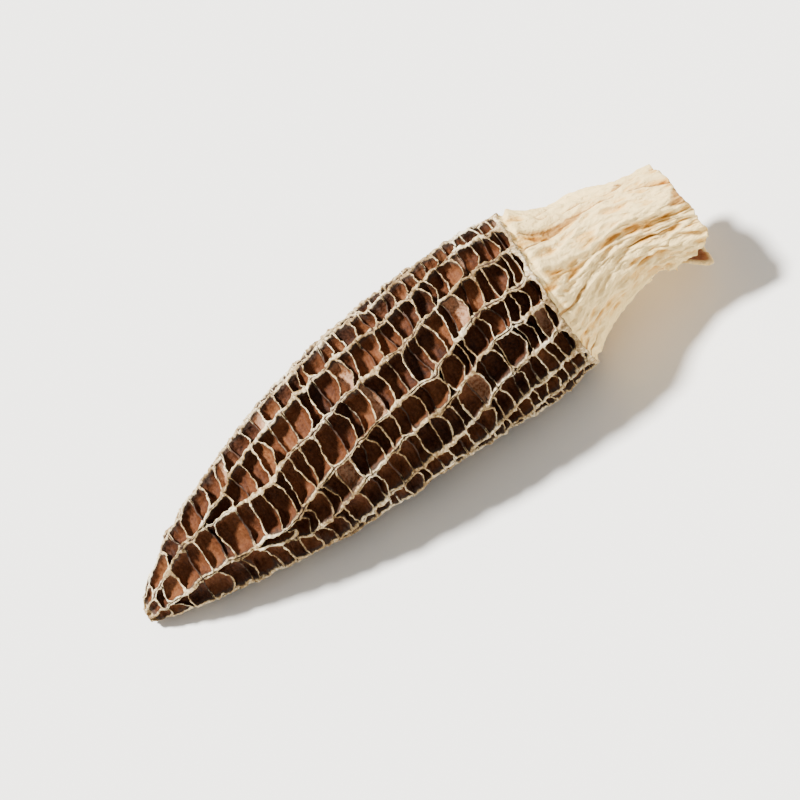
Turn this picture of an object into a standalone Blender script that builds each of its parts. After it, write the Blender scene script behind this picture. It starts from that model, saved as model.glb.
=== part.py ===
"""A dried morel mushroom lying on its side: a honeycombed cap and the hollow stem that it grew on.

Metres, +Z up. X runs along the mushroom, from the tip of the cap to the cut end of the stem. The cap's net of
ridges is drawn on an unrolled sheet, its pits are sunk there, and the sheet is then rolled round the cap's axis.
"""

import math
import random

import bmesh
import bpy
from mathutils import Vector, noise

MM = 0.001

# The cap, measured on the crests of its ridges
CAP_LENGTH = 64 * MM
CAP_RADIUS = 11.6 * MM
CAP_WIDEST_AT = 57 * MM
CAP_TAPER = 0.65
RIM_TUCK = 0.07
RIM_TUCK_LENGTH = 6 * MM
TIP_START = 0.8 * MM

# How it lies: the underside is pressed level, and the tip stands a little off the surface
PRESS = 0.7 * MM
TIP_LIFT = 1.4 * MM
LIFTED_LENGTH = 20 * MM

# The net of ridges. A pit takes two rows, and pits in neighbouring channels are one row out of step. Shifts, tilts
# and sways are shares of a row or of a channel, and a closing channel is CLOSING_STRIDE on from the last to close
SEED = 11
CHANNELS = 18
WIDTH_SPREAD = 0.14
ROWS = 36
ROW_CROWDING = 0.3
ROW_SHIFT = 0.3
ROW_TILT = 0.2
RIDGE_SWAY = 0.05
MISSING_SHARE = 0.04
CLOSING_STRIDE = 10
CLOSING_JITTER = 1.5 * MM
CLOSING_LENGTH = 13 * MM
NARROWEST_CROSSED = 1.2 * MM
TWIST = 0.3

# A ridge and the pit beside it. Neither the crest nor the wall takes more than its share of a small pit
CREST_HALF_WIDTH = 0.3 * MM
WALL_SLOPE_WIDTH = 0.32 * MM
LARGEST_SHARE = 0.3
PIT_DEPTH = 1.9 * MM
PIT_DEPTH_SHARE = 0.3
FLOOR_DIP = 0.3 * MM
CROSS_BOW = 0.6 * MM
CROSS_SAG = 0.4 * MM

# The hollow inside, which runs from the cap out through the stem
CAP_WALL = 1.0 * MM
HOLLOW_ENDS_AT = 13 * MM
HOLLOW_RINGS = 7

# The stem, as (distance past the cap's rim, radius) down its outside
JOINT_GAP = 0.3 * MM
STEM_LENGTH = 18 * MM
STEM_OUTSIDE = ((0.0, 10.3), (1.0, 9.2), (2.4, 8.1), (4.4, 7.0), (6.8, 6.1), (9.6, 5.45), (12.4, 5.1), (15.2, 5.05))
STEM_END_RADIUS = 5.3 * MM
STEM_WALL = 1.0 * MM
STEM_SEGMENTS = 44
STEM_RISE = 0.5 * MM
STEM_DROOP = 0.9 * MM
STEM_FLATTENING = 0.08
FOLD_DEPTH = 0.5 * MM
FOLDS = ((4, 0.5, 0.6), (7, 0.45, 2.1), (11, 0.25, 4.0))
FOLD_DRIFT = 0.9
CUT_SLANT = 0.9 * MM

# Unevenness from drying, as (size of a lump, how far it moves the surface)
LUMPS = ((9.0 * MM, 0.4 * MM), (3.2 * MM, 0.16 * MM))


def smoothstep(value):
    value = min(max(value, 0.0), 1.0)
    return value * value * (3 - 2 * value)


def cap_radius(along):
    """Radius of the cap's crests at a distance from its tip."""
    share = (along / CAP_WIDEST_AT) ** CAP_TAPER
    tuck = RIM_TUCK * smoothstep((along - CAP_LENGTH + RIM_TUCK_LENGTH) / RIM_TUCK_LENGTH)
    return CAP_RADIUS * math.sin(math.pi / 2 * share) * (1 - tuck)


def axis_height(along):
    """Height of the axis, so that the underside lies level from behind the tip to the widest place."""
    lift = TIP_LIFT * max(0.0, 1 - along / LIFTED_LENGTH) ** 2
    return cap_radius(min(along, CAP_WIDEST_AT)) - PRESS + lift


def roll(along, turn, height):
    """The place in space of a point on the unrolled cap. turn is 0 on top, and height is above the crests."""
    radius = cap_radius(along) + height
    return Vector((along, radius * math.sin(turn), axis_height(along) + radius * math.cos(turn)))


def unevenness(point):
    """How far drying moved a point, the same for everything near it."""
    moved = Vector((0, 0, 0))
    for size, reach in LUMPS:
        moved += noise.noise_vector(point / size) * reach
    return moved


def pit_depth(along):
    return min(PIT_DEPTH, PIT_DEPTH_SHARE * cap_radius(along))


def row_place(row):
    """Distance of a row from the tip. Rows crowd together towards the rim."""
    share = row / ROWS
    return TIP_START + (CAP_LENGTH - TIP_START) * (share + ROW_CROWDING * share * (1 - share))


def closing_places(draw):
    """Where every second channel pinches out on its way to the tip, as {channel: distance from the tip}.

    Each closes where the cap has become too slim for it, so the channels that are left keep their width, and
    the next one to close is on the other side of the cap.
    """
    places = {}
    for closed in range(CHANNELS // 2):
        slimness = (CHANNELS - closed - 0.5) / CHANNELS
        place = CAP_WIDEST_AT * (math.asin(slimness) * 2 / math.pi) ** (1 / CAP_TAPER)
        places[closed * CLOSING_STRIDE % CHANNELS] = place + draw.uniform(-CLOSING_JITTER, CLOSING_JITTER)
    return places


def open_widths(row, closings, full_widths):
    """Widths of the channels at a row, as shares of a usual one. A closed channel has no width."""
    widths = list(full_widths)
    for channel, place in closings.items():
        widths[channel] *= smoothstep((row_place(row) - place) / CLOSING_LENGTH)
    return widths


def cross_shifts(draw):
    """How far along the cap each end of each cross ridge is moved, as {(row, ridge): share of a row}."""
    moves = {}
    for row in range(1, ROWS):
        for channel in range(row % 2, CHANNELS + row % 2, 2):
            shift = draw.uniform(-ROW_SHIFT, ROW_SHIFT)
            tilt = draw.uniform(-ROW_TILT, ROW_TILT)
            moves[row, channel % CHANNELS] = shift - tilt
            moves[row, (channel + 1) % CHANNELS] = shift + tilt
    return moves


def place_knots(draw):
    """Where the ridges and the rows meet on the unrolled sheet, as {(row, ridge): (along, turn)}.

    Ridges with only closed channels between them are at one place. A ridge sways to the side on which a cross
    ridge joins it, so that the two meet in a fork.
    """
    closings = closing_places(draw)
    full_widths = [draw.uniform(1 - WIDTH_SPREAD, 1 + WIDTH_SPREAD) for _ in range(CHANNELS)]
    moves = cross_shifts(draw)
    places = {}
    for row in range(ROWS + 1):
        widths = open_widths(row, closings, full_widths)
        share = 2 * math.pi / sum(widths)
        pitch = (row_place(min(row + 1, ROWS)) - row_place(max(row - 1, 0))) / 2
        start = -math.pi + TWIST * row_place(row) / CAP_LENGTH
        sways = [draw.uniform(0, RIDGE_SWAY) if 0 < row < ROWS else 0.0 for _ in range(CHANNELS)]
        for ridge in range(CHANNELS + 1):
            if ridge and widths[ridge - 1] == 0:
                places[row, ridge] = places[row, ridge - 1]
                continue
            side = 1 if (row + ridge) % 2 == 0 else -1
            turn = start + share * (sum(widths[:ridge]) + side * sways[ridge % CHANNELS])
            places[row, ridge] = (row_place(row) + moves.get((row, ridge % CHANNELS), 0.0) * pitch, turn)
    return places


def crossed(row, channel, width, missing):
    """Whether a cross ridge spans this channel at this row."""
    if row in (0, ROWS):
        return True
    return (row + channel) % 2 == 0 and width > NARROWEST_CROSSED and (row, channel) not in missing


def draw_net(mesh):
    """Draws the ridges on the unrolled sheet: X is along the cap, Y is the turn, Z the height."""
    draw = random.Random(SEED)
    places = place_knots(draw)
    missing = {
        (row, channel)
        for row in range(2, ROWS - 1)
        for channel in range(CHANNELS)
        if draw.random() < MISSING_SHARE
    }
    bmesh.ops.create_grid(mesh, x_segments=ROWS, y_segments=CHANNELS, size=1)
    knots = {v: (round((v.co.x + 1) / 2 * ROWS), round((v.co.y + 1) / 2 * CHANNELS)) for v in mesh.verts}
    for vert, knot in knots.items():
        vert.co = (*places[knot], 0)
    crossings, unused = [], []
    for edge in mesh.edges:
        (row, ridge), (other_row, other_ridge) = (knots[v] for v in edge.verts)
        width = abs(edge.verts[0].co.y - edge.verts[1].co.y) * cap_radius(edge.verts[0].co.x)
        if row != other_row or width == 0:
            continue
        kept = crossed(row, min(ridge, other_ridge), width, missing)
        (crossings if kept else unused).append(edge)
    bmesh.ops.dissolve_edges(mesh, edges=unused, use_verts=False)
    for edge in crossings:
        ends = [v.co.copy() for v in edge.verts]
        inner_row = TIP_START < ends[0].x < CAP_LENGTH and TIP_START < ends[1].x < CAP_LENGTH
        bow = draw.uniform(-CROSS_BOW, CROSS_BOW) if inner_row else 0.0
        made = bmesh.ops.bisect_edges(mesh, edges=[edge], cuts=1)["geom_split"]
        for vert in made:
            if isinstance(vert, bmesh.types.BMVert):
                vert.co.x += bow
                vert.co.z -= CROSS_SAG if inner_row else 0.0
    bmesh.ops.remove_doubles(mesh, verts=mesh.verts, dist=0.001 * MM)


def sink_pits(mesh):
    """Sinks each cell of the net to a pit: its crest stays, its wall slopes in, and its floor dips."""
    cells = list(mesh.faces)
    for width, deepening in ((CREST_HALF_WIDTH, 0.0), (WALL_SLOPE_WIDTH, 1.0)):
        bmesh.ops.inset_individual(mesh, faces=cells, thickness=0, use_even_offset=False)
        for cell in cells:
            shrink_cell(cell, width, deepening)
    floors = bmesh.ops.poke(mesh, faces=cells)
    for vert in floors["verts"]:
        vert.co.z -= FLOOR_DIP


def shrink_cell(cell, width, deepening):
    """Draws a cell's corners in from its edge by a width, as far as the cell has room, and lowers them."""
    points = [v.co.copy() for v in cell.verts]
    middle = sum(points, Vector()) / len(points)
    radius = cap_radius(middle.x)
    half_length = max(abs(p.x - middle.x) for p in points)
    half_width = max(abs(p.y - middle.y) for p in points) * radius
    keep_x = 1 - min(width / half_length, LARGEST_SHARE)
    keep_y = 1 - min(width / half_width, LARGEST_SHARE)
    for vert, point in zip(cell.verts, points):
        vert.co.x = middle.x + (point.x - middle.x) * keep_x
        vert.co.y = middle.y + (point.y - middle.y) * keep_y
        vert.co.z = point.z * (1 - deepening) - pit_depth(point.x) * deepening


def open_edges(mesh, near, within=2 * MM):
    """The open edges at one end of the rolled cap."""
    return [e for e in mesh.edges if e.is_boundary and all(abs(v.co.x - near) < within for v in e.verts)]


def line_hollow(mesh):
    """Carries the rim inwards and back up inside the cap as the wall of its hollow, and closes it."""
    edges = open_edges(mesh, CAP_LENGTH)
    for ring in range(HOLLOW_RINGS + 1):
        along = CAP_LENGTH + (HOLLOW_ENDS_AT - CAP_LENGTH) * ring / HOLLOW_RINGS
        made = bmesh.ops.extrude_edge_only(mesh, edges=edges)["geom"]
        edges = [g for g in made if isinstance(g, bmesh.types.BMEdge)]
        height = -pit_depth(along) - FLOOR_DIP - CAP_WALL
        for vert in (g for g in made if isinstance(g, bmesh.types.BMVert)):
            turn = math.atan2(vert.co.y, vert.co.z - axis_height(vert.co.x))
            vert.co = roll(along, turn, height)
    bmesh.ops.edgeloop_fill(mesh, edges=edges)


def settle(mesh):
    """Makes the surface uneven, and presses what would reach below the ground level with it."""
    for vert in mesh.verts:
        vert.co += unevenness(vert.co)
        vert.co.z = max(vert.co.z, 0.0)
    bmesh.ops.recalc_face_normals(mesh, faces=mesh.faces)


def make_cap():
    mesh = bmesh.new()
    draw_net(mesh)
    sink_pits(mesh)
    for vert in mesh.verts:
        vert.co = roll(*vert.co)
    bmesh.ops.remove_doubles(mesh, verts=mesh.verts, dist=0.001 * MM)
    bmesh.ops.edgeloop_fill(mesh, edges=open_edges(mesh, TIP_START))
    line_hollow(mesh)
    settle(mesh)
    return mesh


def stem_profile():
    """The stem's wall in section: down its outside, across the cut end, and back up its inside."""
    outside = [(along * MM, radius * MM) for along, radius in STEM_OUTSIDE] + [(STEM_LENGTH, STEM_END_RADIUS)]
    mouth = cap_radius(CAP_LENGTH) - pit_depth(CAP_LENGTH) - FLOOR_DIP - CAP_WALL
    inside = [(along, min(radius - STEM_WALL, mouth)) for along, radius in outside]
    inside[0] = (0.0, mouth)
    return outside + inside[::-1]


def fold(turn, along):
    """Depth of the stem's lengthwise folds at a place. They fade out where it spreads into the cap."""
    drift = FOLD_DRIFT * along / STEM_LENGTH
    wave = sum(size * math.cos(count * turn + phase + drift) for count, size, phase in FOLDS)
    return FOLD_DEPTH * wave * smoothstep(along / STEM_LENGTH * 2)


def stem_shift(along):
    """How far the stem's middle stands up and to the far side of the cap's axis, before its end droops."""
    share = along / STEM_LENGTH
    return STEM_RISE * 4 * share * (1 - share) - STEM_DROOP * share**3


def make_stem():
    mesh = bmesh.new()
    axis_z = axis_height(CAP_LENGTH)
    start = CAP_LENGTH + JOINT_GAP
    profile = stem_profile()
    verts = [mesh.verts.new((start + along, 0, axis_z + radius)) for along, radius in profile]
    edges = [mesh.edges.new((verts[k - 1], verts[k])) for k in range(len(verts))]
    bmesh.ops.spin(
        mesh,
        geom=verts + edges,
        cent=(0, 0, axis_z),
        axis=(1, 0, 0),
        angle=2 * math.pi,
        steps=STEM_SEGMENTS,
        use_merge=True,
    )
    bmesh.ops.remove_doubles(mesh, verts=mesh.verts, dist=0.001 * MM)
    for vert in mesh.verts:
        along = vert.co.x - start
        turn = math.atan2(vert.co.y, vert.co.z - axis_z)
        radius = math.hypot(vert.co.y, vert.co.z - axis_z) + fold(turn, along)
        spread = smoothstep(along / STEM_LENGTH * 2)
        vert.co.x += CUT_SLANT * (along / STEM_LENGTH) ** 2 * -math.cos(turn)
        vert.co.y = radius * math.sin(turn) * (1 + STEM_FLATTENING * spread) + stem_shift(along)
        vert.co.z = axis_z + radius * math.cos(turn) * (1 - STEM_FLATTENING * spread) + stem_shift(along)
    settle(mesh)
    return mesh


def material(name, colour, roughness):
    made = bpy.data.materials.new(name)
    made.use_nodes = True
    shader = made.node_tree.nodes["Principled BSDF"]
    shader.inputs["Base Color"].default_value = (*colour, 1)
    shader.inputs["Roughness"].default_value = roughness
    shader.inputs["Metallic"].default_value = 0
    made.diffuse_color = (*colour, 1)
    return made


def add_object(name, mesh, finish, collection):
    data = bpy.data.meshes.new(name)
    mesh.to_mesh(data)
    mesh.free()
    data.materials.append(finish)
    made = bpy.data.objects.new(name, data)
    collection.objects.link(made)
    return made


def centre_over_origin(objects):
    """Moves everything along X and Y, so that the origin is on the ground under the middle of the mushroom."""
    points = [v.co for obj in objects for v in obj.data.vertices]
    middle_x = (min(p.x for p in points) + max(p.x for p in points)) / 2
    middle_y = (min(p.y for p in points) + max(p.y for p in points)) / 2
    for obj in objects:
        obj.location = (-middle_x, -middle_y, 0)


def main():
    for obj in list(bpy.data.objects):
        bpy.data.objects.remove(obj)
    noise.seed_set(SEED)
    collection = bpy.data.collections.new("morel_mushroom")
    bpy.context.scene.collection.children.link(collection)
    cap = add_object("cap", make_cap(), material("cap", (0.16, 0.085, 0.045), 0.7), collection)
    stem = add_object("stem", make_stem(), material("stem", (0.80, 0.66, 0.45), 0.85), collection)
    centre_over_origin([cap, stem])


main()
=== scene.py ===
import math
import random

import bmesh
import bpy
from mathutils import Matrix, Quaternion, Vector, noise


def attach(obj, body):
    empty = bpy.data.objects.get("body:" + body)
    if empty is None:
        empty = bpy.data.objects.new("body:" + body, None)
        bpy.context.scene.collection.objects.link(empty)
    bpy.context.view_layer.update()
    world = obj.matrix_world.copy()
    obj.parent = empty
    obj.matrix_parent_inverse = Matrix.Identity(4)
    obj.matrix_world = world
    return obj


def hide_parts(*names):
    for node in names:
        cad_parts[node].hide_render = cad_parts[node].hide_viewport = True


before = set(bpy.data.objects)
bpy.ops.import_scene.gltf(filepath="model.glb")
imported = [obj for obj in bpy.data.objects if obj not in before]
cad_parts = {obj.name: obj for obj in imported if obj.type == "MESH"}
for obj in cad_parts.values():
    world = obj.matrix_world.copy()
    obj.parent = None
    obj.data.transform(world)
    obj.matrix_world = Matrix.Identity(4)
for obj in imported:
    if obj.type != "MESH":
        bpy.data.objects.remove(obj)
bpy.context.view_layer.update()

mm = 0.001
mergeDistance = 0.001 * mm
print("frame loaded")

# The body that the ridges grow on. These are the part's own sizes, so they stay as the frame has them
body = {
    "length": 64 * mm,
    "radius": 11.6 * mm,
    "widestAt": 57 * mm,
    "taper": 0.65,
    "rimTuck": 0.07,
    "rimTuckLength": 6 * mm,
    "tipStart": 0.8 * mm,
    "press": 0.7 * mm,
    "tipLift": 1.4 * mm,
    "liftedLength": 20 * mm,
    "lumps": ((9.0 * mm, 0.4 * mm), (3.2 * mm, 0.16 * mm)),  # size of a lump, how far it moves the surface
    "seed": 11,
}

# The net of ridges, in the same numbers and the same order of draws as the part's
net = {
    "channels": 18,
    "widthSpread": 0.14,
    "rows": 36,
    "rowCrowding": 0.3,
    "rowShift": 0.3,
    "rowTilt": 0.2,
    "ridgeSway": 0.05,
    "missingShare": 0.04,
    "closingStride": 10,
    "closingJitter": 1.5 * mm,
    "closingLength": 13 * mm,
    "narrowestCrossed": 1.2 * mm,
    "twist": 0.3,
    "crossBow": 0.6 * mm,
}

# What the looks add: how finely the ridges are drawn, and how a pit goes down from its crest
honeycomb = {
    "spacing": 0.26 * mm,  # between points along a ridge
    "pitDepth": 2.1 * mm,
    "depthShare": 0.34,  # of the cap's radius, where it is slim
    "depthSpread": 0.16,
    "floorDip": 0.3 * mm,
    "dipShares": (0.7, 0.3),  # of the dip, down to the last ring and from there to the middle
    # in places a lengthwise ridge is two strands with a groove between them
    "strandLength": 4.5 * mm,
    "strandContrast": 1.8,
    "strandShare": 0.6,
    "strandEnd": 0.4 * mm,  # from the rim
    "grooveDepth": 0.32 * mm,
    "grooveShade": 0.85,
    # the last pits end in round arches, and pale flesh between the arches runs on into the stem
    "rimBand": 0.38 * mm,
    "rimArch": 0.6 * mm,
    "rimReach": 1.6 * mm,
    "rungBow": 0.3 * mm,  # the cross ridges mostly bow towards the rim
    "rungSag": (0.12, 0.42),  # of the pit's depth
    "rungPale": 0.9,
    "rungFoot": (1.6, 2.0),  # how soon a cross ridge has its own shape and its own colour, from either end
    "extraRungs": 0.2,  # share of the pits with one more cross ridge
    "extraGrowth": 1.3,  # how much that share grows where the pits are wide
    "lowRibs": 0.28,  # share of the pits with a low rib across the floor, which doubles where they are wide
    "widePit": 2.4 * mm,
    "wideFrom": 0.6,  # of that width
    "narrowestExtra": 1.5,  # times the narrowest pit that the part's own cross ridges cross
    # how far it bows as a share of the part's own cross ridges, its sag as a share of the pit's depth,
    # how steeply it falls from its ends, and its paleness
    "extraRung": {"bow": (-0.6, 1.2), "sag": (0.2, 0.5), "steepness": 0.8, "pale": (0.7, 0.9)},
    "lowRib": {"bow": (-0.4, 1.0), "sag": (0.6, 0.85), "steepness": 0.35, "pale": (0.25, 0.6)},
    # size of a thick or thin stretch, how much it differs
    "unevenWidth": ((1.6 * mm, 0.75), (0.5 * mm, 0.55)),
    # a ring's distance from the lengthwise ridge and from the cross ridge, its share of the depth, its
    # paleness. The crest is a lip that overhangs the thin wall under it
    "rings": (
        (0.13 * mm, 0.05 * mm, 0.0, 1.0),
        (0.25 * mm, 0.1 * mm, 0.05, 0.8),
        (0.27 * mm, 0.12 * mm, 0.15, 0.42),
        (0.2 * mm, 0.09 * mm, 0.36, 0.14),
        (0.36 * mm, 0.28 * mm, 0.82, 0.04),
        (0.85 * mm, 0.75 * mm, 1.0, 0.0),
    ),
    "innerRing": 0.45,  # share of the way to the middle that is left at the last ring
    "largestShare": 0.34,  # of that way, that the rings above it take up in a small pit
    # how far the pale flesh fills a pit's corners, the most that it takes of the pit, and where it starts
    # and how soon it is full
    "web": 0.26 * mm,
    "webMost": 0.24,
    "webFrom": 0.35,
    "webReach": 0.55,
    "toneSpread": 0.16,  # lighter or darker, from pit to pit
    "paintedSheenPits": 0.07,  # share of the pits with a painted sheen: a pinkish beige floor
    "paintedSheenTone": 0.33,
    "paintedSheenFrom": 0.9 * mm,  # half the width of the smallest of them
    # size of a crinkle, its reach at the crest
    "crinkles": ((1.5 * mm, 0.22 * mm), (0.6 * mm, 0.15 * mm), (0.3 * mm, 0.07 * mm)),
    "floorCrinkle": 0.3,  # share of that reach on the floors
    "ragged": ((1.1 * mm, 0.24 * mm), (0.42 * mm, 0.17 * mm)),  # size, rise and fall of the crest
    "crestFoot": (1.5, 2.0),  # how soon towards a crest the crinkles and the rise and fall are full
    "paleTip": 1.6 * mm,  # the ridges run together at the tip, where only their pale flesh is left
    "wall": 1.0 * mm,
    "hollowEndsAt": 13 * mm,
    "hollowRings": 10,
    "mostTriangles": 196000,
}

stalk = {
    "gap": 0.3 * mm,
    "length": 18 * mm,
    # its outline in millimetres from the rim and from the axis
    "outside": (
        (0.0, 10.3), (1.0, 9.2), (2.4, 8.1), (4.4, 7.0), (6.8, 6.1), (9.6, 5.45), (12.4, 5.1), (15.2, 5.05),
    ),
    "endRadius": 5.3 * mm,
    # where the outline is read on either side of a place, to round its corners
    "softening": (-0.9 * mm, -0.45 * mm, 0, 0.45 * mm, 0.9 * mm),
    "wall": 1.0 * mm,
    "rise": 0.5 * mm,
    "droop": 0.9 * mm,
    "flattening": 0.08,
    "foldDepth": 0.5 * mm,
    "folds": ((4, 0.5, 0.6), (7, 0.45, 2.1), (11, 0.25, 4.0)),  # count round the stem, size, phase
    "foldDrift": 0.9,
    "rimDip": 0.25 * mm,  # how far the stem starts below the crests of the rim
    "rimTuck": 0.5 * mm,  # and how far it reaches in under them
    "steps": 400,
    "ringSpacing": 0.2 * mm,
    "sheetRadius": 6 * mm,  # of the tube on which the patterns are drawn
    "wander": 1.1 * mm,  # how far a wrinkle strays from its line
    "straySize": 4.5 * mm,
    "strayShare": 0.6,  # of the way along the stem that counts for a stray
    "wrinklesFrom": 0.9 * mm,
    "smoothInside": 0.65,
    # size of a wrinkle round the stem, how much it is drawn out along it, its height
    "wrinkles": ((2.0 * mm, 5.0, 0.28 * mm), (0.9 * mm, 3.5, 0.18 * mm), (0.45 * mm, 2.5, 0.1 * mm)),
    "wrinkleSharpness": 2.6,
    "valley": -0.6,  # the lowest that a wrinkle goes, as a share of its height
    # size of the cells between the raised cords, drawn out the same way, the cords' width in cells, and
    # their height
    "cords": ((1.9 * mm, 4.5, 0.28, 0.3 * mm), (0.9 * mm, 3.5, 0.32, 0.18 * mm)),
    "creaseSpacing": 2.1 * mm,
    "creaseDrawn": 5.0,
    "creaseDepth": 0.4 * mm,
    "creaseWidth": (0.05, 0.11),  # the least, and what a patch of creases adds
    "creasePatch": 4.0 * mm,
    "patchShare": 0.5,  # of the way along the stem that counts for a patch
    # contrast and share of the patches, for the creases' width and for their depth
    "patchEdges": ((1.6, 0.4), (2.4, 0.6)),
    "creaseOffsets": (11 * mm, 30 * mm),  # so that creases and wrinkles don't follow each other
    "roughness": (0.8 * mm, 0.06 * mm),
    "cutSlant": 0.8 * mm,
    "cutTurn": -1.0,  # the side where the stem is longest
    "raggedEnd": ((2.2 * mm, 0.5 * mm), (0.6 * mm, 0.2 * mm)),
    # the wall thins towards the cut, and its edge is rounded and pale
    "edgeWall": 0.38,
    "edgeTaper": 3 * mm,
    "edgeBulge": 0.06 * mm,
    "edgeShares": (0.15, 0.3),
    "edgeTan": (0.1, 0.3),
    "paleEdge": 0.6 * mm,
    # the cut end is split low on its side, and the wall beyond the split has curled outwards as a flap
    "curledLength": 5.5 * mm,
    "lipStart": -2.0,
    "lipRise": 0.2,
    "lipWidth": 1.7,
    "lipFlare": 3.6 * mm,
    "lipCurve": 1.5,
    "lipReach": 0.2 * mm,
    "tearStart": -1.25,
    "tearDeepest": -2.05,
    "tearEnd": -2.27,
    "tearStep": 0.3,
    "tearDepth": 4.4 * mm,
    "tearLength": 8 * mm,
    "tearTuck": 0.9 * mm,
}


def smoothStep(value):
    value = min(max(value, 0.0), 1.0)
    return value * value * (3 - 2 * value)


def capRadius(along):
    share = (along / body["widestAt"]) ** body["taper"]
    beyond = along - body["length"] + body["rimTuckLength"]
    tuck = body["rimTuck"] * smoothStep(beyond / body["rimTuckLength"])
    return body["radius"] * math.sin(math.pi / 2 * share) * (1 - tuck)


def axisHeight(along):
    lift = body["tipLift"] * max(0.0, 1 - along / body["liftedLength"]) ** 2
    return capRadius(min(along, body["widestAt"])) - body["press"] + lift


def rollUp(along, turn, height):
    # from the unrolled sheet to its place round the axis; turn is 0 on top
    radius = capRadius(along) + height
    return Vector((along, radius * math.sin(turn), axisHeight(along) + radius * math.cos(turn)))


def unevenness(point):
    moved = Vector((0, 0, 0))
    for size, reach in body["lumps"]:
        moved += noise.noise_vector(point / size) * reach
    return moved


def pitDepth(along):
    return min(honeycomb["pitDepth"], honeycomb["depthShare"] * capRadius(along))


def rowPlace(row):
    share = row / net["rows"]
    crowded = share + net["rowCrowding"] * share * (1 - share)
    return body["tipStart"] + (body["length"] - body["tipStart"]) * crowded


def closingPlaces(draw):
    # every second channel pinches out on its way to the tip, where the cap has become too slim for it
    places = {}
    for closed in range(net["channels"] // 2):
        slimness = (net["channels"] - closed - 0.5) / net["channels"]
        place = body["widestAt"] * (math.asin(slimness) * 2 / math.pi) ** (1 / body["taper"])
        jitter = draw.uniform(-net["closingJitter"], net["closingJitter"])
        places[closed * net["closingStride"] % net["channels"]] = place + jitter
    return places


def openWidths(row, closings, fullWidths):
    widths = list(fullWidths)
    for channel, place in closings.items():
        widths[channel] *= smoothStep((rowPlace(row) - place) / net["closingLength"])
    return widths


def crossShifts(draw):
    moves = {}
    for row in range(1, net["rows"]):
        for channel in range(row % 2, net["channels"] + row % 2, 2):
            shift = draw.uniform(-net["rowShift"], net["rowShift"])
            tilt = draw.uniform(-net["rowTilt"], net["rowTilt"])
            moves[row, channel % net["channels"]] = shift - tilt
            moves[row, (channel + 1) % net["channels"]] = shift + tilt
    return moves


def placeKnots(draw):
    # where ridges and rows meet on the unrolled sheet, as {(row, ridge): (along, turn)}
    rows, channels = net["rows"], net["channels"]
    closings = closingPlaces(draw)
    fullWidths = [draw.uniform(1 - net["widthSpread"], 1 + net["widthSpread"]) for _ in range(channels)]
    moves = crossShifts(draw)
    places = {}
    for row in range(rows + 1):
        widths = openWidths(row, closings, fullWidths)
        share = 2 * math.pi / sum(widths)
        pitch = (rowPlace(min(row + 1, rows)) - rowPlace(max(row - 1, 0))) / 2
        start = -math.pi + net["twist"] * rowPlace(row) / body["length"]
        sways = [draw.uniform(0, net["ridgeSway"]) if 0 < row < rows else 0.0 for _ in range(channels)]
        for ridge in range(channels + 1):
            if ridge and widths[ridge - 1] == 0:
                places[row, ridge] = places[row, ridge - 1]
                continue
            side = 1 if (row + ridge) % 2 == 0 else -1
            turn = start + share * (sum(widths[:ridge]) + side * sways[ridge % channels])
            places[row, ridge] = (rowPlace(row) + moves.get((row, ridge % channels), 0.0) * pitch, turn)
    return places


def isCrossed(row, channel, width, missing):
    if row in (0, net["rows"]):
        return True
    return (row + channel) % 2 == 0 and width > net["narrowestCrossed"] and (row, channel) not in missing


def splitEdge(mesh, edge):
    # new points along an edge, as (point, share of the way from its first end)
    start, end = (v.co.copy() for v in edge.verts)
    across = (end.y - start.y) * capRadius((start.x + end.x) / 2)
    cuts = max(1, round(math.hypot(end.x - start.x, across) / honeycomb["spacing"]))
    made = bmesh.ops.bisect_edges(mesh, edges=[edge], cuts=cuts)["geom_split"]
    points = [item for item in made if isinstance(item, bmesh.types.BMVert)]
    return [(v, (v.co - start).length / (end - start).length) for v in points]


def curveThrough(before, start, end, after, share):
    # the smooth curve from start to end that also heads for the knots on either side
    place = []
    for a, b, c, d in zip(before, start, end, after):
        slope, bend, turn = c - a, 2 * a - 5 * b + 4 * c - d, 3 * b - a - 3 * c + d
        place.append(0.5 * (2 * b + slope * share + bend * share**2 + turn * share**3))
    return place


def bowEdge(mesh, edge, bow, sagShare, steepness, paleness):
    # a cross ridge curves sideways and hangs between the lengthwise ridges that it joins
    sag, across, pale = [mesh.verts.layers.float[name] for name in ("sag", "across", "pale")]
    shapeFoot, colourFoot = honeycomb["rungFoot"]
    for vert, share in splitEdge(mesh, edge):
        rise = 4 * share * (1 - share)
        vert.co.x += bow * rise
        vert[sag] = sagShare * rise**steepness
        vert[across] = smoothStep(rise * shapeFoot)
        vert[pale] = 1 - (1 - paleness) * smoothStep(rise * colourFoot)


def missingCrossings(draw):
    return {
        (row, channel)
        for row in range(2, net["rows"] - 1)
        for channel in range(net["channels"])
        if draw.random() < net["missingShare"]
    }


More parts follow.
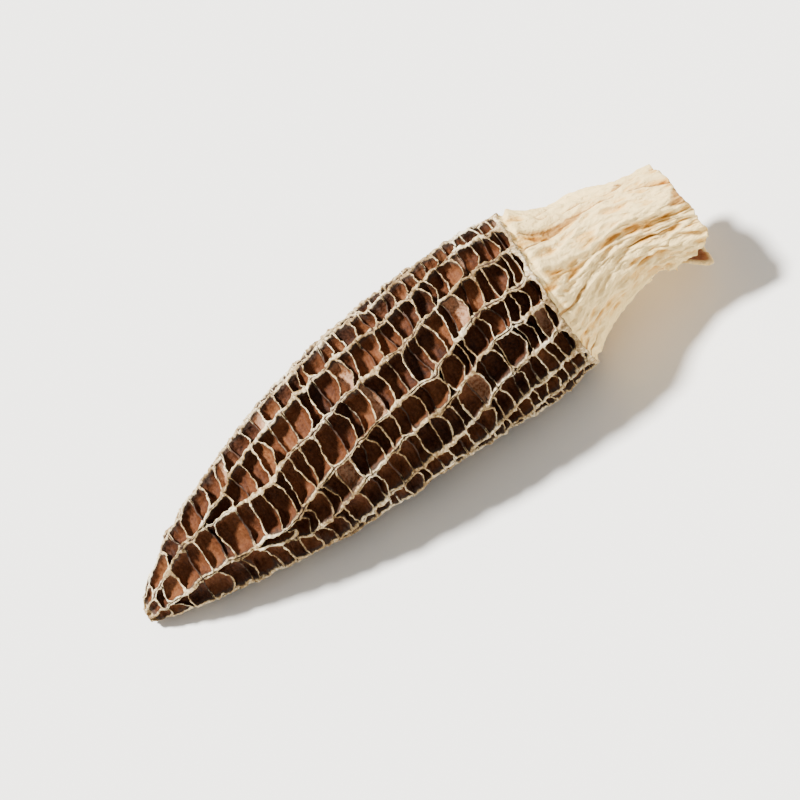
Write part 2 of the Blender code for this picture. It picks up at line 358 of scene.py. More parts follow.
def sortEdges(mesh, knots, missing, choose):
    # which of the grid's edges are cross ridges of each kind, lengthwise ridges, or no ridge at all
    kinds = {"crossing": [], "extraRung": [], "lowRib": [], "lengthwise": [], "unused": []}
    for edge in mesh.edges:
        (row, ridge), (otherRow, otherRidge) = (knots[v] for v in edge.verts)
        width = abs(edge.verts[0].co.y - edge.verts[1].co.y) * capRadius(edge.verts[0].co.x)
        if row != otherRow:
            kinds["lengthwise"].append((edge, (row, ridge), (otherRow, otherRidge)))
        elif width > 0:
            isWideEnough = width > net["narrowestCrossed"] * honeycomb["narrowestExtra"]
            lot = choose.random() if isWideEnough else 1.0
            wide = smoothStep(width / honeycomb["widePit"] - honeycomb["wideFrom"])
            rungShare = honeycomb["extraRungs"] * (1 + honeycomb["extraGrowth"] * wide)
            if isCrossed(row, min(ridge, otherRidge), width, missing):
                kinds["crossing"].append(edge)
            elif lot < rungShare:
                kinds["extraRung"].append(edge)
            elif lot < rungShare + honeycomb["lowRibs"] * (1 + wide):
                kinds["lowRib"].append(edge)
            else:
                kinds["unused"].append(edge)
    return kinds


def drawCrossing(mesh, edge, draw, choose):
    if all(body["tipStart"] < v.co.x < body["length"] for v in edge.verts):
        bow = draw.uniform(-net["crossBow"], net["crossBow"]) + honeycomb["rungBow"]
        bowEdge(mesh, edge, bow, choose.uniform(*honeycomb["rungSag"]), 1.0, honeycomb["rungPale"])
    else:
        # the tip and the rim are plain rings
        bowEdge(mesh, edge, 0.0, 0.0, 1.0, 1.0)


def drawLengthwise(mesh, edge, places, knot, otherKnot):
    pale = mesh.verts.layers.float["pale"]
    (row, ridge), (otherRow, otherRidge) = knot, otherKnot
    step = otherRow - row
    start, end = places[knot], places[otherKnot]
    before = places.get((row - step, ridge), start)
    after = places.get((otherRow + step, otherRidge), end)
    for vert, share in splitEdge(mesh, edge):
        vert.co.x, vert.co.y = curveThrough(before, start, end, after, share)
        vert[pale] = 1


def drawNet(mesh):
    draw = random.Random(body["seed"])
    choose = random.Random(body["seed"] + 2)
    places = placeKnots(draw)
    missing = missingCrossings(draw)
    # layers come first, because a new one renumbers the points
    for name in ("sag", "across", "pale", "thick", "crest", "toneAndSheen", "lining"):
        mesh.verts.layers.float.new(name)
    rows, channels = net["rows"], net["channels"]
    bmesh.ops.create_grid(mesh, x_segments=rows, y_segments=channels, size=1)
    knots = {v: (round((v.co.x + 1) / 2 * rows), round((v.co.y + 1) / 2 * channels)) for v in mesh.verts}
    for vert, knot in knots.items():
        vert.co = (*places[knot], 0)
    edges = sortEdges(mesh, knots, missing, choose)
    bmesh.ops.dissolve_edges(mesh, edges=edges["unused"], use_verts=False)
    pale = mesh.verts.layers.float["pale"]
    for vert in mesh.verts:
        vert[pale] = 1
    for edge in edges["crossing"]:
        drawCrossing(mesh, edge, draw, choose)
    for kind in ("extraRung", "lowRib"):
        look = honeycomb[kind]
        for edge in edges[kind]:
            bow = choose.uniform(*look["bow"]) * net["crossBow"]
            sagShare, paleness = choose.uniform(*look["sag"]), choose.uniform(*look["pale"])
            bowEdge(mesh, edge, bow, sagShare, look["steepness"], paleness)
    for edge, knot, otherKnot in edges["lengthwise"]:
        drawLengthwise(mesh, edge, places, knot, otherKnot)
    bmesh.ops.remove_doubles(mesh, verts=mesh.verts, dist=mergeDistance)


def rimDraw(place, middle, halfWidth):
    # how far a pit's edge draws back from the rim: least in the middle of the pit, so that it ends in an arch
    near = smoothStep((place.x - body["length"] + honeycomb["rimReach"]) / honeycomb["rimReach"])
    aside = ((place.y - middle.y) * capRadius(middle.x) / halfWidth) ** 2
    return near * (honeycomb["rimBand"] + honeycomb["rimArch"] * min(aside, 1.0))


def webbedCorner(place, middle, halfLength, halfWidth):
    # the share of its way to the middle that a point of a pit's outline keeps: less towards the corners
    aside = abs(place.y - middle.y) * capRadius(middle.x) / halfWidth
    outwards = abs(place.x - middle.x) / halfLength * aside
    corner = smoothStep((outwards - honeycomb["webFrom"]) / honeycomb["webReach"])
    return 1 - min(honeycomb["web"] / halfWidth, honeycomb["webMost"]) * corner


def describePits(cells, draw):
    # each pit's middle on the sheet, half its length and its width, its share of the usual depth, its tone,
    # which in a few pits is a painted sheen
    pits = []
    for cell in cells:
        points = [v.co.copy() for v in cell.verts]
        middle = sum(points, Vector()) / len(points)
        halfLength = max(abs(p.x - middle.x) for p in points)
        halfWidth = max(abs(p.y - middle.y) for p in points) * capRadius(middle.x)
        depth = 1 + draw.uniform(-honeycomb["depthSpread"], honeycomb["depthSpread"])
        lot = draw.random()
        # a few wide pits get a painted sheen, a pinkish beige floor, in place of their own tone
        if lot > 1 - honeycomb["paintedSheenPits"] and halfWidth > honeycomb["paintedSheenFrom"]:
            toneAndSheen = honeycomb["paintedSheenTone"]
        else:
            toneAndSheen = lot * 2 * honeycomb["toneSpread"] - honeycomb["toneSpread"]
        pits.append((middle, halfLength, halfWidth, depth, toneAndSheen))
    return pits


def shapeCrests(mesh):
    names = ("sag", "across", "pale", "thick", "crest")
    sag, across, pale, thick, crest = [mesh.verts.layers.float[name] for name in names]
    strandsEnd = body["length"] - honeycomb["strandEnd"]
    for vert in mesh.verts:
        place = rollUp(vert.co.x, vert.co.y, 0)
        patch = noise.noise(place / honeycomb["strandLength"]) * honeycomb["strandContrast"]
        double = smoothStep(patch + honeycomb["strandShare"]) * (1 - vert[across])
        double *= smoothStep((strandsEnd - vert.co.x) / honeycomb["rimReach"])
        vert.co.z = -vert[sag] * pitDepth(vert.co.x) - honeycomb["grooveDepth"] * double
        vert[crest] = vert[pale] * (1 - honeycomb["grooveShade"] * double)
        vert[thick] = 1 + sum(noise.noise(place / size) * much for size, much in honeycomb["unevenWidth"])


def keptShare(inset, half, thickness):
    # of its way to the middle: a crest is narrow in a small pit, and the rings below it keep their order
    most = honeycomb["largestShare"] * (inset / honeycomb["rings"][-1][0]) ** 0.5
    return 1 - min(inset * thickness / half, most)


def insetPits(mesh, cells, pits):
    names = ("sag", "pale", "thick", "crest", "toneAndSheen")
    sag, pale, thick, crest, toneAndSheen = [mesh.verts.layers.float[name] for name in names]
    oldSide, oldEnd = 0.0, 0.0
    for side, end, share, paleness in honeycomb["rings"]:
        bmesh.ops.inset_individual(mesh, faces=cells, thickness=0, use_even_offset=False)
        for cell, (middle, halfLength, halfWidth, depth, pitToneAndSheen) in zip(cells, pits):
            for vert in cell.verts:
                kept = keptShare(end, halfLength, vert[thick]), keptShare(oldEnd, halfLength, vert[thick])
                vert.co.x = middle.x + (vert.co.x - middle.x) * kept[0] / kept[1]
                kept = keptShare(side, halfWidth, vert[thick]), keptShare(oldSide, halfWidth, vert[thick])
                vert.co.y = middle.y + (vert.co.y - middle.y) * kept[0] / kept[1]
                if not oldSide:
                    webbed = webbedCorner(vert.co, middle, halfLength, halfWidth)
                    drawnBack = rimDraw(vert.co, middle, halfWidth)
                    vert.co.x = middle.x + (vert.co.x - middle.x) * webbed - drawnBack
                    vert.co.y = middle.y + (vert.co.y - middle.y) * webbed
                vert.co.z = -pitDepth(vert.co.x) * (vert[sag] * (1 - share) + depth * share)
                vert[crest] = paleness * vert[pale]
                vert[toneAndSheen] = pitToneAndSheen
        oldSide, oldEnd = side, end


def dishFloors(mesh, cells, pits):
    toRing, toMiddle = honeycomb["dipShares"]
    bmesh.ops.inset_individual(mesh, faces=cells, thickness=0, use_even_offset=False)
    for cell, (middle, *_) in zip(cells, pits):
        for vert in cell.verts:
            vert.co.x = middle.x + (vert.co.x - middle.x) * honeycomb["innerRing"]
            vert.co.y = middle.y + (vert.co.y - middle.y) * honeycomb["innerRing"]
            vert.co.z -= honeycomb["floorDip"] * toRing
    for vert in bmesh.ops.poke(mesh, faces=cells)["verts"]:
        vert.co.z -= honeycomb["floorDip"] * toMiddle


def sinkPits(mesh):
    cells = list(mesh.faces)
    pits = describePits(cells, random.Random(body["seed"] + 1))
    shapeCrests(mesh)
    insetPits(mesh, cells, pits)
    dishFloors(mesh, cells, pits)


def crinkle(mesh):
    # thin edges curl and break up as they dry; the floors stay nearly smooth
    crest = mesh.verts.layers.float["crest"]
    pale = mesh.verts.layers.float["pale"]
    onFloor = honeycomb["floorCrinkle"]
    crinkleFoot, raggedFoot = honeycomb["crestFoot"]
    elsewhere = Vector((0, 0, 7))  # so that the rise and fall doesn't follow the crinkles
    for vert in mesh.verts:
        loose = onFloor + (1 - onFloor) * smoothStep(vert[crest] * crinkleFoot)
        rugged = smoothStep(vert[crest] * raggedFoot) * vert[pale]
        atTip = 1 - smoothStep((vert.co.x - body["tipStart"]) / honeycomb["paleTip"])
        vert[crest] = max(vert[crest], atTip)
        axisZ = axisHeight(max(vert.co.x, body["tipStart"]))
        outwards = Vector((0, vert.co.y, vert.co.z - axisZ)).normalized()
        moved = Vector((0, 0, 0))
        for size, reach in honeycomb["crinkles"]:
            moved += noise.noise_vector(vert.co / size) * reach * loose
        for size, reach in honeycomb["ragged"]:
            moved += outwards * noise.noise(vert.co / size + elsewhere) * reach * rugged
        vert.co += moved


def openEdges(mesh, near, within=2 * mm):
    return [e for e in mesh.edges if e.is_boundary and all(abs(v.co.x - near) < within for v in e.verts)]


def lineHollow(mesh):
    lining = mesh.verts.layers.float["lining"]
    edges = openEdges(mesh, body["length"])
    rings, ending = honeycomb["hollowRings"], honeycomb["hollowEndsAt"]
    for ring in range(rings + 1):
        along = body["length"] + (ending - body["length"]) * ring / rings
        made = bmesh.ops.extrude_edge_only(mesh, edges=edges)["geom"]
        edges = [g for g in made if isinstance(g, bmesh.types.BMEdge)]
        height = -pitDepth(along) - honeycomb["floorDip"] - honeycomb["wall"]
        for vert in (g for g in made if isinstance(g, bmesh.types.BMVert)):
            turn = math.atan2(vert.co.y, vert.co.z - axisHeight(vert.co.x))
            vert.co = rollUp(along, turn, height)
            vert[lining] = 1
    bmesh.ops.edgeloop_fill(mesh, edges=edges)


def dropSlivers(mesh):
    # where a channel pinches out, slivers can be left hanging on a ridge. The rest of the surface is closed
    while slivers := [face for face in mesh.faces if any(edge.is_boundary for edge in face.edges)]:
        bmesh.ops.delete(mesh, geom=slivers, context="FACES")


def settle(mesh):
    for vert in mesh.verts:
        vert.co.z = max(vert.co.z, 0.0)
    bmesh.ops.recalc_face_normals(mesh, faces=mesh.faces)


def makePiece(name, mesh, shift, material):
    # the mesh moves, and the object stays at the origin as the frame's own nodes do
    bmesh.ops.translate(mesh, verts=mesh.verts, vec=shift)
    data = bpy.data.meshes.new(name)
    mesh.to_mesh(data)
    mesh.free()
    data.materials.append(material)
    for face in data.polygons:
        face.use_smooth = True
    piece = bpy.data.objects.new(name, data)
    bpy.context.scene.collection.objects.link(piece)
    return piece


def thinOut(piece, most):
    # nearly flat floors and walls need few faces, and the crests keep theirs
    count = sum(len(face.vertices) - 2 for face in piece.data.polygons)
    thinner = piece.modifiers.new("thinner", "DECIMATE")
    thinner.ratio = min(1.0, most / count)
    thinned = piece.evaluated_get(bpy.context.evaluated_depsgraph_get())
    piece.data = bpy.data.meshes.new_from_object(thinned)
    piece.modifiers.clear()
    # thinning can push a point a hair below the surface that the mushroom lies on
    for vert in piece.data.vertices:
        vert.co.z = max(vert.co.z, 0.0)


def makeCap(material, shift):
    mesh = bmesh.new()
    drawNet(mesh)
    sinkPits(mesh)
    for vert in mesh.verts:
        vert.co = rollUp(*vert.co)
    bmesh.ops.remove_doubles(mesh, verts=mesh.verts, dist=mergeDistance)
    tip = bmesh.ops.edgeloop_fill(mesh, edges=openEdges(mesh, body["tipStart"]))["faces"]
    bmesh.ops.poke(mesh, faces=tip)
    lineHollow(mesh)
    dropSlivers(mesh)
    for vert in mesh.verts:
        vert.co += unevenness(vert.co)
    crinkle(mesh)
    settle(mesh)
    piece = makePiece("morelCap", mesh, shift, material)
    thinOut(piece, honeycomb["mostTriangles"])
    print("cap faces", len(piece.data.polygons))
    return piece


def fold(turn, along):
    drift = stalk["foldDrift"] * along / stalk["length"]
    wave = sum(size * math.cos(count * turn + phase + drift) for count, size, phase in stalk["folds"])
    return stalk["foldDepth"] * wave * smoothStep(along / stalk["length"] * 2)


def stemRadius(along):
    # the part's own outline, read along straight lines between its points
    points = [(a * mm, r * mm) for a, r in stalk["outside"]] + [(stalk["length"], stalk["endRadius"])]
    for (a0, r0), (a1, r1) in zip(points, points[1:]):
        if along <= a1:
            return r0 + (r1 - r0) * max(0.0, along - a0) / (a1 - a0)
    return points[-1][1]


def stemShift(along):
    share = along / stalk["length"]
    return stalk["rise"] * 4 * share * (1 - share) - stalk["droop"] * share**3


def stemProfile():
    # the wall in section, down the outside and back up the inside, as (along, radius, share of the lining)
    length, wall, thin = stalk["length"], stalk["wall"], stalk["edgeWall"]
    count = round(length / stalk["ringSpacing"])
    alongs = [length * k / count for k in range(count + 1)]
    readings = stalk["softening"]
    soft = [sum(stemRadius(a + d) for d in readings) / len(readings) for a in alongs]
    rim = capRadius(body["length"])
    underRim = rim - stalk["rimDip"]
    mouth = rim - pitDepth(body["length"]) - honeycomb["floorDip"] - honeycomb["wall"]
    start = [(-stalk["rimTuck"], underRim, 0.0), (-stalk["rimTuck"] * 0.5, underRim, 0.0)]
    outside = [(a, min(r, underRim), 0.0) for a, r in zip(alongs, soft)]
    edgeTan, insideTan = stalk["edgeTan"]
    edge = [(length + stalk["edgeBulge"], soft[-1] - wall * share, edgeTan) for share in stalk["edgeShares"]]
    inside = [
        (
            a,
            min(r - wall * (thin + (1 - thin) * smoothStep((length - a) / stalk["edgeTaper"])), mouth),
            min(1.0, insideTan + (length - a) / stalk["paleEdge"]),
        )
        for a, r in list(zip(alongs, soft))[::-2]
    ]
    back = [(-stalk["rimTuck"], mouth, 1.0)]
    return start + outside + edge + inside + back


def tornBack(turn):
    # the tear deepens down the side wall to the split, and stops short beyond it
    down = (stalk["tearStart"] - turn) / (stalk["tearStart"] - stalk["tearDeepest"])
    return min(max(down, 0.0), 1.0) ** 2 * (1 - smoothStep((stalk["tearEnd"] - turn) / stalk["tearStep"]))


def curledLip(turn):
    beyond = math.remainder(stalk["lipStart"] - turn, 2 * math.pi)
    return smoothStep(beyond / stalk["lipRise"]) * (1 - smoothStep(beyond / stalk["lipWidth"]))


def sheetPlace(turn):
    # where the patterns are read, so that they run round the stem without a seam
    return Vector((math.sin(turn), math.cos(turn), 0)) * stalk["sheetRadius"]


def wrinkleAt(along, turn):
    # how far the stem's surface is lifted at a place, how deep in a crease and how high on a wrinkle it is
    around = sheetPlace(turn)
    strayPlace = around + Vector((0, 0, along * stalk["strayShare"]))
    stray = noise.noise(strayPlace / stalk["straySize"]) * stalk["wander"]
    around += Vector((math.cos(turn), -math.sin(turn), 0)) * stray
    lift = 0.0
    for size, drawn, height in stalk["wrinkles"]:
        place = around + Vector((0, 0, along / drawn + size * 9))
        lift += height * max(1 - stalk["wrinkleSharpness"] * abs(noise.noise(place / size)), stalk["valley"])
    for size, drawn, width, height in stalk["cords"]:
        place = around + Vector((0, 0, along / drawn + size * 5))
        nearest, second = noise.voronoi(place / size)[0][:2]
        lift += height * (1 - smoothStep((second - nearest) / width))
    patchOffset, lineOffset = stalk["creaseOffsets"]
    patchPlace = around + Vector((0, 0, along * stalk["patchShare"] + patchOffset))
    patch = noise.noise(patchPlace / stalk["creasePatch"])
    widthEdge, depthEdge = [smoothStep(patch * contrast + share) for contrast, share in stalk["patchEdges"]]
    linePlace = around + Vector((0, 0, along / stalk["creaseDrawn"] + lineOffset))
    line = abs(noise.noise(linePlace / stalk["creaseSpacing"]))
    least, more = stalk["creaseWidth"]
    crease = smoothStep(1 - line / (least + more * widthEdge)) * depthEdge
    raised = lift / sum(height for _, _, height in stalk["wrinkles"])
    return lift - stalk["creaseDepth"] * crease, crease, raised


def spinStem(mesh, start, axisZ):
    lining = mesh.verts.layers.float["lining"]
    verts = []
    for along, radius, inner in stemProfile():
        vert = mesh.verts.new((start + along, 0, axisZ + radius))
        vert[lining] = inner
        verts.append(vert)
    edges = [mesh.edges.new((verts[k - 1], verts[k])) for k in range(len(verts))]
    bmesh.ops.spin(
        mesh,
        geom=verts + edges,
        cent=(0, 0, axisZ),
        axis=(1, 0, 0),
        angle=2 * math.pi,
        steps=stalk["steps"],
        use_merge=True,
    )
    bmesh.ops.remove_doubles(mesh, verts=mesh.verts, dist=mergeDistance)


def shapeStem(mesh, start, axisZ):
    lining, crease, raised = [mesh.verts.layers.float[name] for name in ("lining", "crease", "raised")]
    for vert in mesh.verts:
        along = max(vert.co.x - start, 0.0)
        turn = math.atan2(vert.co.y, vert.co.z - axisZ)
        radius = math.hypot(vert.co.y, vert.co.z - axisZ)
        share = along / stalk["length"]
        # a point's depth in a crease and its height on a wrinkle also set the painted shade in its colour
        lift, vert[crease], vert[raised] = wrinkleAt(along, turn)
        spread = smoothStep(share * 2)
        grow = smoothStep(along / stalk["wrinklesFrom"]) * (1 - stalk["smoothInside"] * vert[lining])
        curl = smoothStep((along - stalk["length"] + stalk["curledLength"]) / stalk["curledLength"])
        lip = curledLip(turn)
        # the torn wall is drawn back evenly over its length, so that it doesn't fold over itself
        drawn = min(max((along - stalk["length"]) / stalk["tearLength"] + 1, 0.0), 1.0)
        pulled = stalk["tearDepth"] * tornBack(turn) * drawn
        flare = smoothStep((along - pulled - stalk["length"] + stalk["curledLength"]) / stalk["curledLength"])
        radius += fold(turn, along) + lift * grow + stalk["lipFlare"] * lip * flare ** stalk["lipCurve"]
        radius -= stalk["tearTuck"] * tornBack(turn) * drawn
        ragged = sum(noise.noise(sheetPlace(turn) / size) * reach for size, reach in stalk["raggedEnd"])
        vert.co.x += stalk["cutSlant"] * math.cos(turn - stalk["cutTurn"]) * share**2 + ragged * share**4
        vert.co.x += stalk["lipReach"] * lip * curl - pulled
        vert.co.y = radius * math.sin(turn) * (1 + stalk["flattening"] * spread) + stemShift(along)
        vert.co.z = axisZ + radius * math.cos(turn) * (1 - stalk["flattening"] * spread) + stemShift(along)


def makeStem(material, shift):
    mesh = bmesh.new()
    for name in ("lining", "crease", "raised"):
        mesh.verts.layers.float.new(name)
    axisZ = axisHeight(body["length"])
    start = body["length"] + stalk["gap"]
    spinStem(mesh, start, axisZ)
    shapeStem(mesh, start, axisZ)
    size, reach = stalk["roughness"]
    for vert in mesh.verts:
        vert.co += unevenness(vert.co)
        vert.co += noise.noise_vector(vert.co / size) * reach
    settle(mesh)
    print("stem faces", len(mesh.faces))
    return makePiece("morelStem", mesh, shift, material)


def linear(hexColour):
    parts = [int(hexColour[k : k + 2], 16) / 255 for k in (1, 3, 5)]
    return [p / 12.92 if p <= 0.04045 else ((p + 0.055) / 1.055) ** 2.4 for p in parts] + [1.0]


def addNode(tree, kind, settings=None, **links):
    # settings set the node's own properties, and links fill its inputs with a value or another node's output
    node = tree.nodes.new(kind)
    for name, value in (settings or {}).items():
        setattr(node, name, value)
    for name, value in links.items():
        key = int(name[1:]) if name[0] == "i" and name[1:].isdigit() else name.replace("_", " ")
        if isinstance(value, bpy.types.NodeSocket):
            tree.links.new(value, node.inputs[key])
        else:
            node.inputs[key].default_value = value
    return node


def addRamp(tree, value, stops):
    ramp = addNode(tree, "ShaderNodeValToRGB", Fac=value)
    elements = ramp.color_ramp.elements
    while len(elements) < len(stops):
        elements.new(0.5)
    for element, (place, colour) in zip(elements, stops):
        element.position = place
        element.color = linear(colour)
    return ramp.outputs["Color"]


def newMaterial(name, roughness, gloss=0.5):
    material = bpy.data.materials.new(name)
    material.use_nodes = True
    tree = material.node_tree
    shader = tree.nodes["Principled BSDF"]
    shader.inputs["Metallic"].default_value = 0
    shader.inputs["Roughness"].default_value = roughness
    shader.inputs["Specular IOR Level"].default_value = gloss
    return material, tree, shader


capFinish = {
    # the pinkish beige top of the pit ramp is the painted sheen of a few floors
    "pit": ((0.28, "#2e180d"), (0.45, "#4d2914"), (0.6, "#643a20"), (0.74, "#784c2d"), (0.88, "#b0886a")),
    "wall": ((0.3, "#2c211b"), (0.6, "#4b3b31"), (0.85, "#6d5b4d")),
    "crest": ((0.37, "#6e5637"), (0.47, "#a88b62"), (0.55, "#dac49a"), (0.64, "#faeaca")),
    "lining": ((0.3, "#6b3d1e"), (0.7, "#a8692f")),
    "blotch": 2.4 * mm,
    "patch": 5 * mm,
    "fleck": 0.4 * mm,
    "rib": 0.75 * mm,
    "grain": 0.16 * mm,
}

stemFinish = {
    # from the bottom of a wrinkle to its top: darker and tan low down as painted shade, cream flesh high up
    "fleshAndShade": ((0.12, "#8c541a"), (0.34, "#c68a3b"), (0.55, "#edbc68"), (0.8, "#ffde99")),
    # painted shade in the creases, in tan
    "fold": ((0.35, "#93652e"), (0.7, "#c99c5b")),
    "lining": ((0.3, "#6f3a18"), (0.7, "#b06c34")),
    "blotch": 3.2 * mm,
    "fibre": 0.5 * mm,
    "fibreDrawn": 0.22,  # share of its length that a fibre takes across the stem
    "fleck": 0.4 * mm,
    "meal": 0.2 * mm,
}


def driedMorelCap():
    # leathery dried flesh: satin chestnut floors, a few with a painted sheen, dull grey-brown walls and pale
    # chalky crests
    material, tree, shader = newMaterial("driedMorelCap", 0.6, 0.1)
    place = addNode(tree, "ShaderNodeTexCoord").outputs["Object"]
    crest = addNode(tree, "ShaderNodeAttribute", {"attribute_name": "crest"}).outputs["Fac"]
    toneAndSheen = addNode(tree, "ShaderNodeAttribute", {"attribute_name": "toneAndSheen"}).outputs["Fac"]
    lining = addNode(tree, "ShaderNodeAttribute", {"attribute_name": "lining"}).outputs["Fac"]
    blotch = addNode(tree, "ShaderNodeTexNoise", Vector=place, Scale=1 / capFinish["blotch"], Detail=4.0)
    fleck = addNode(tree, "ShaderNodeTexNoise", Vector=place, Scale=1 / capFinish["fleck"], Detail=5.0)
    fleck.inputs["Roughness"].default_value = 0.6
    both = addNode(
        tree, "ShaderNodeMath", {"operation": "ADD"}, i0=blotch.outputs["Fac"], i1=fleck.outputs["Fac"],
    )
    mottle = addNode(tree, "ShaderNodeMath", {"operation": "MULTIPLY"}, i0=both.outputs[0], i1=0.5)
    # each pit has its own tone, and a few have a painted sheen
    pitValue = addNode(tree, "ShaderNodeMath", {"operation": "ADD"}, i0=mottle.outputs[0], i1=toneAndSheen)
    pit = addRamp(tree, pitValue.outputs[0], capFinish["pit"])
    wall = addRamp(tree, mottle.outputs[0], capFinish["wall"])
    patch = addNode(tree, "ShaderNodeTexNoise", Vector=place, Scale=1 / capFinish["patch"], Detail=2.0)
    dusted = addNode(tree, "ShaderNodeMix", {"data_type": "FLOAT"}, i0=0.45, i2=fleck.outputs["Fac"])
    tree.links.new(patch.outputs["Fac"], dusted.inputs[3])
    pale = addRamp(tree, dusted.outputs[0], capFinish["crest"])
    inner = addRamp(tree, blotch.outputs["Fac"], capFinish["lining"])
    # the height of the crest's edge wavers with the flecks
    waver = addNode(tree, "ShaderNodeMapRange", Value=fleck.outputs["Fac"], To_Min=-0.22, To_Max=0.22)
    edge = addNode(tree, "ShaderNodeMath", {"operation": "ADD"}, i0=crest, i1=waver.outputs[0])
    smooth = {"interpolation_type": "SMOOTHSTEP"}
    wallShare = addNode(tree, "ShaderNodeMapRange", smooth, Value=edge.outputs[0])
    wallShare.inputs["From Min"].default_value = 0.03
    wallShare.inputs["From Max"].default_value = 0.4
    paleShare = addNode(tree, "ShaderNodeMapRange", smooth, Value=edge.outputs[0])
    paleShare.inputs["From Min"].default_value = 0.45
    paleShare.inputs["From Max"].default_value = 0.85
    blend = {"data_type": "RGBA"}
    lower = addNode(tree, "ShaderNodeMix", blend, i0=wallShare.outputs[0], i6=pit, i7=wall)
    outer = addNode(tree, "ShaderNodeMix", blend, i0=paleShare.outputs[0], i6=lower.outputs[2], i7=pale)
    colour = addNode(tree, "ShaderNodeMix", blend, i0=lining, i6=outer.outputs[2], i7=inner)
    tree.links.new(colour.outputs[2], shader.inputs["Base Color"])
    rough = addNode(tree, "ShaderNodeMapRange", Value=edge.outputs[0], To_Min=0.6, To_Max=0.92)
    tree.links.new(rough.outputs[0], shader.inputs["Roughness"])
    # faint ribs across the pits, and a fine dry grain everywhere
    ribs = addNode(tree, "ShaderNodeTexWave", {"bands_direction": "X"}, Vector=place, Detail_Scale=1.5)
    ribs.inputs["Scale"].default_value = math.pi / 10 / capFinish["rib"]
    ribs.inputs["Distortion"].default_value = 4.0
    ribs.inputs["Detail"].default_value = 2.0
    grain = addNode(tree, "ShaderNodeTexNoise", Vector=place, Scale=1 / capFinish["grain"], Detail=3.0)
    fine = addNode(tree, "ShaderNodeBump", Height=grain.outputs["Fac"], Strength=0.5, Distance=0.05 * mm)
    bumpy = addNode(tree, "ShaderNodeBump", Height=fleck.outputs["Fac"], Normal=fine.outputs[0], Strength=0.8)
    bumpy.inputs["Distance"].default_value = 0.2 * mm
    ribbed = addNode(tree, "ShaderNodeBump", Height=ribs.outputs["Fac"], Normal=bumpy.outputs[0])
    ribbed.inputs["Strength"].default_value = 0.6
    ribbed.inputs["Distance"].default_value = 0.14 * mm
    tree.links.new(ribbed.outputs[0], shader.inputs["Normal"])
    return material


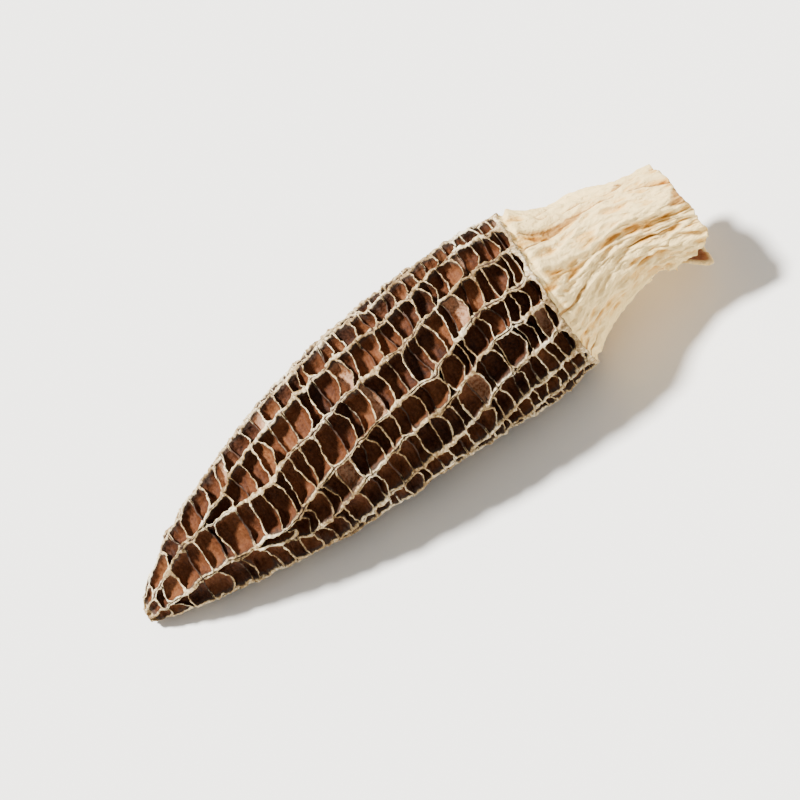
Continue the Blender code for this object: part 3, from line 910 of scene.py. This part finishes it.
def driedMorelStem():
    # corky dried flesh like crumpled paper: chalk-matt cream on the wrinkles, with painted shade in tan
    # between them and in the folds
    material, tree, shader = newMaterial("driedMorelStem", 0.88, 0.2)
    place = addNode(tree, "ShaderNodeTexCoord").outputs["Object"]
    crease = addNode(tree, "ShaderNodeAttribute", {"attribute_name": "crease"}).outputs["Fac"]
    raised = addNode(tree, "ShaderNodeAttribute", {"attribute_name": "raised"}).outputs["Fac"]
    lining = addNode(tree, "ShaderNodeAttribute", {"attribute_name": "lining"}).outputs["Fac"]
    along = addNode(tree, "ShaderNodeMapping", Vector=place, Scale=(stemFinish["fibreDrawn"], 1, 1))
    blotch = addNode(tree, "ShaderNodeTexNoise", Vector=place, Scale=1 / stemFinish["blotch"], Detail=4.0)
    fibre = addNode(tree, "ShaderNodeTexNoise", Scale=1 / stemFinish["fibre"], Detail=4.0)
    tree.links.new(along.outputs[0], fibre.inputs["Vector"])
    fleck = addNode(tree, "ShaderNodeTexNoise", Vector=place, Scale=1 / stemFinish["fleck"], Detail=5.0)
    fleck.inputs["Roughness"].default_value = 0.65
    # pale on top of a wrinkle and darker towards its bottom as painted shade, blotched over a few millimetres
    # and streaked along the fibres
    streak = addNode(tree, "ShaderNodeMapRange", Value=fibre.outputs["Fac"], From_Min=0.3, From_Max=0.7)
    streak.inputs["To Min"].default_value = -0.12
    streak.inputs["To Max"].default_value = 0.12
    cloud = addNode(tree, "ShaderNodeMapRange", Value=blotch.outputs["Fac"], From_Min=0.3, From_Max=0.7)
    cloud.inputs["To Min"].default_value = 0.3
    cloud.inputs["To Max"].default_value = 0.6
    height = addNode(tree, "ShaderNodeMath", {"operation": "MULTIPLY_ADD"}, i0=raised, i1=0.5)
    tree.links.new(cloud.outputs[0], height.inputs[2])
    mixed = addNode(tree, "ShaderNodeMath", {"operation": "ADD"}, i0=height.outputs[0], i1=streak.outputs[0])
    fleshAndShade = addRamp(tree, mixed.outputs[0], stemFinish["fleshAndShade"])
    paintedFoldShade = addRamp(tree, fibre.outputs["Fac"], stemFinish["fold"])
    inner = addRamp(tree, blotch.outputs["Fac"], stemFinish["lining"])
    # painted shade: the creases are coloured tan by their depth, with wavering edges
    waver = addNode(tree, "ShaderNodeMapRange", Value=fleck.outputs["Fac"], To_Min=-0.3, To_Max=0.3)
    depth = addNode(tree, "ShaderNodeMath", {"operation": "ADD"}, i0=crease, i1=waver.outputs[0])
    foldShadeShare = addNode(tree, "ShaderNodeMapRange", {"interpolation_type": "SMOOTHSTEP"}, Value=depth.outputs[0])
    foldShadeShare.inputs["From Min"].default_value = 0.3
    foldShadeShare.inputs["From Max"].default_value = 0.85
    blend = {"data_type": "RGBA"}
    outer = addNode(tree, "ShaderNodeMix", blend, i0=foldShadeShare.outputs[0], i6=fleshAndShade, i7=paintedFoldShade)
    colour = addNode(tree, "ShaderNodeMix", blend, i0=lining, i6=outer.outputs[2], i7=inner)
    tree.links.new(colour.outputs[2], shader.inputs["Base Color"])
    meal = addNode(tree, "ShaderNodeTexNoise", Vector=place, Scale=1 / stemFinish["meal"], Detail=3.0)
    fine = addNode(tree, "ShaderNodeBump", Height=meal.outputs["Fac"], Strength=0.6, Distance=0.08 * mm)
    fibrous = addNode(tree, "ShaderNodeBump", Height=fibre.outputs["Fac"], Normal=fine.outputs[0])
    fibrous.inputs["Strength"].default_value = 0.9
    fibrous.inputs["Distance"].default_value = 0.4 * mm
    bumpy = addNode(tree, "ShaderNodeBump", Height=fleck.outputs["Fac"], Normal=fibrous.outputs[0])
    bumpy.inputs["Strength"].default_value = 0.7
    bumpy.inputs["Distance"].default_value = 0.2 * mm
    tree.links.new(bumpy.outputs[0], shader.inputs["Normal"])
    return material


studio = {
    # the photo shows the mushroom tilted, and here it lies level, so the camera leans instead
    "azimuth": 9,
    "elevation": 55,
    "lean": -42,
    "lens": 150,
    "distance": 0.4,
    "nearest": 0.01,
    "aim": (0.0, 0.0, 0.009),
    # azimuth, elevation and distance of each light
    "keyFrom": (-133, 62, 0.5),
    "keyStrength": 13.5,
    "keySpread": 9,
    "fillFrom": (40, 55, 0.6),
    "fillPower": 0.5,
    "fillSize": 0.5,
    "roomLight": 0.56,
    "roomColour": "#fffdf9",
    "floor": "#f4f1ea",
    "floorSize": 4,
}


def direction(azimuth, elevation):
    a, e = math.radians(azimuth), math.radians(elevation)
    return Vector((math.sin(a) * math.cos(e), -math.cos(a) * math.cos(e), math.sin(e)))


def aimAt(thing, azimuth, elevation, away, lean=0):
    # looks at the mushroom from a direction, with its top leaning sideways by so many degrees
    back = direction(azimuth, elevation)
    thing.location = Vector(studio["aim"]) + back * away
    turned = back.to_track_quat("Z", "Y") @ Quaternion((0, 0, 1), math.radians(lean))
    thing.rotation_euler = turned.to_euler()
    bpy.context.scene.collection.objects.link(thing)


def addLights():
    key = bpy.data.lights.new("keyLight", "SUN")
    key.energy = studio["keyStrength"]
    key.angle = math.radians(studio["keySpread"])
    aimAt(bpy.data.objects.new("keyLight", key), *studio["keyFrom"])
    fill = bpy.data.lights.new("fillLight", "AREA")
    fill.energy = studio["fillPower"]
    fill.size = studio["fillSize"]
    aimAt(bpy.data.objects.new("fillLight", fill), *studio["fillFrom"])
    room = bpy.data.worlds.new("softRoom")
    room.use_nodes = True
    background = room.node_tree.nodes["Background"]
    background.inputs["Color"].default_value = linear(studio["roomColour"])
    background.inputs["Strength"].default_value = studio["roomLight"]
    bpy.context.scene.world = room


def addFloor():
    # uncoated white paper: evenly pale, with no shine to draw the eye from the mushroom
    mesh = bmesh.new()
    bmesh.ops.create_grid(mesh, x_segments=1, y_segments=1, size=studio["floorSize"])
    data = bpy.data.meshes.new("floor")
    mesh.to_mesh(data)
    mesh.free()
    floor = bpy.data.objects.new("floor", data)
    bpy.context.scene.collection.objects.link(floor)
    paper, _, shader = newMaterial("mattPaper", 0.9)
    shader.inputs["Base Color"].default_value = linear(studio["floor"])
    data.materials.append(paper)


def setStudio():
    addFloor()
    addLights()
    camera = bpy.data.objects.new("camera", bpy.data.cameras.new("camera"))
    camera.data.lens = studio["lens"]
    camera.data.clip_start = studio["nearest"]
    aimAt(camera, studio["azimuth"], studio["elevation"], studio["distance"], studio["lean"])
    bpy.context.scene.camera = camera


noise.seed_set(body["seed"])
# the frame puts the middle of the box over the origin, and the rim of the cap tells how far that moved it
shift = Vector((-0.0417795, -0.0000281, 0))
cap = makeCap(driedMorelCap(), shift)
stem = makeStem(driedMorelStem(), shift)
for piece, node in ((cap, "cap"), (stem, "stem")):
    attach(piece, "root")
    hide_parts(node)
print("pieces placed")
setStudio()
print("studio set")
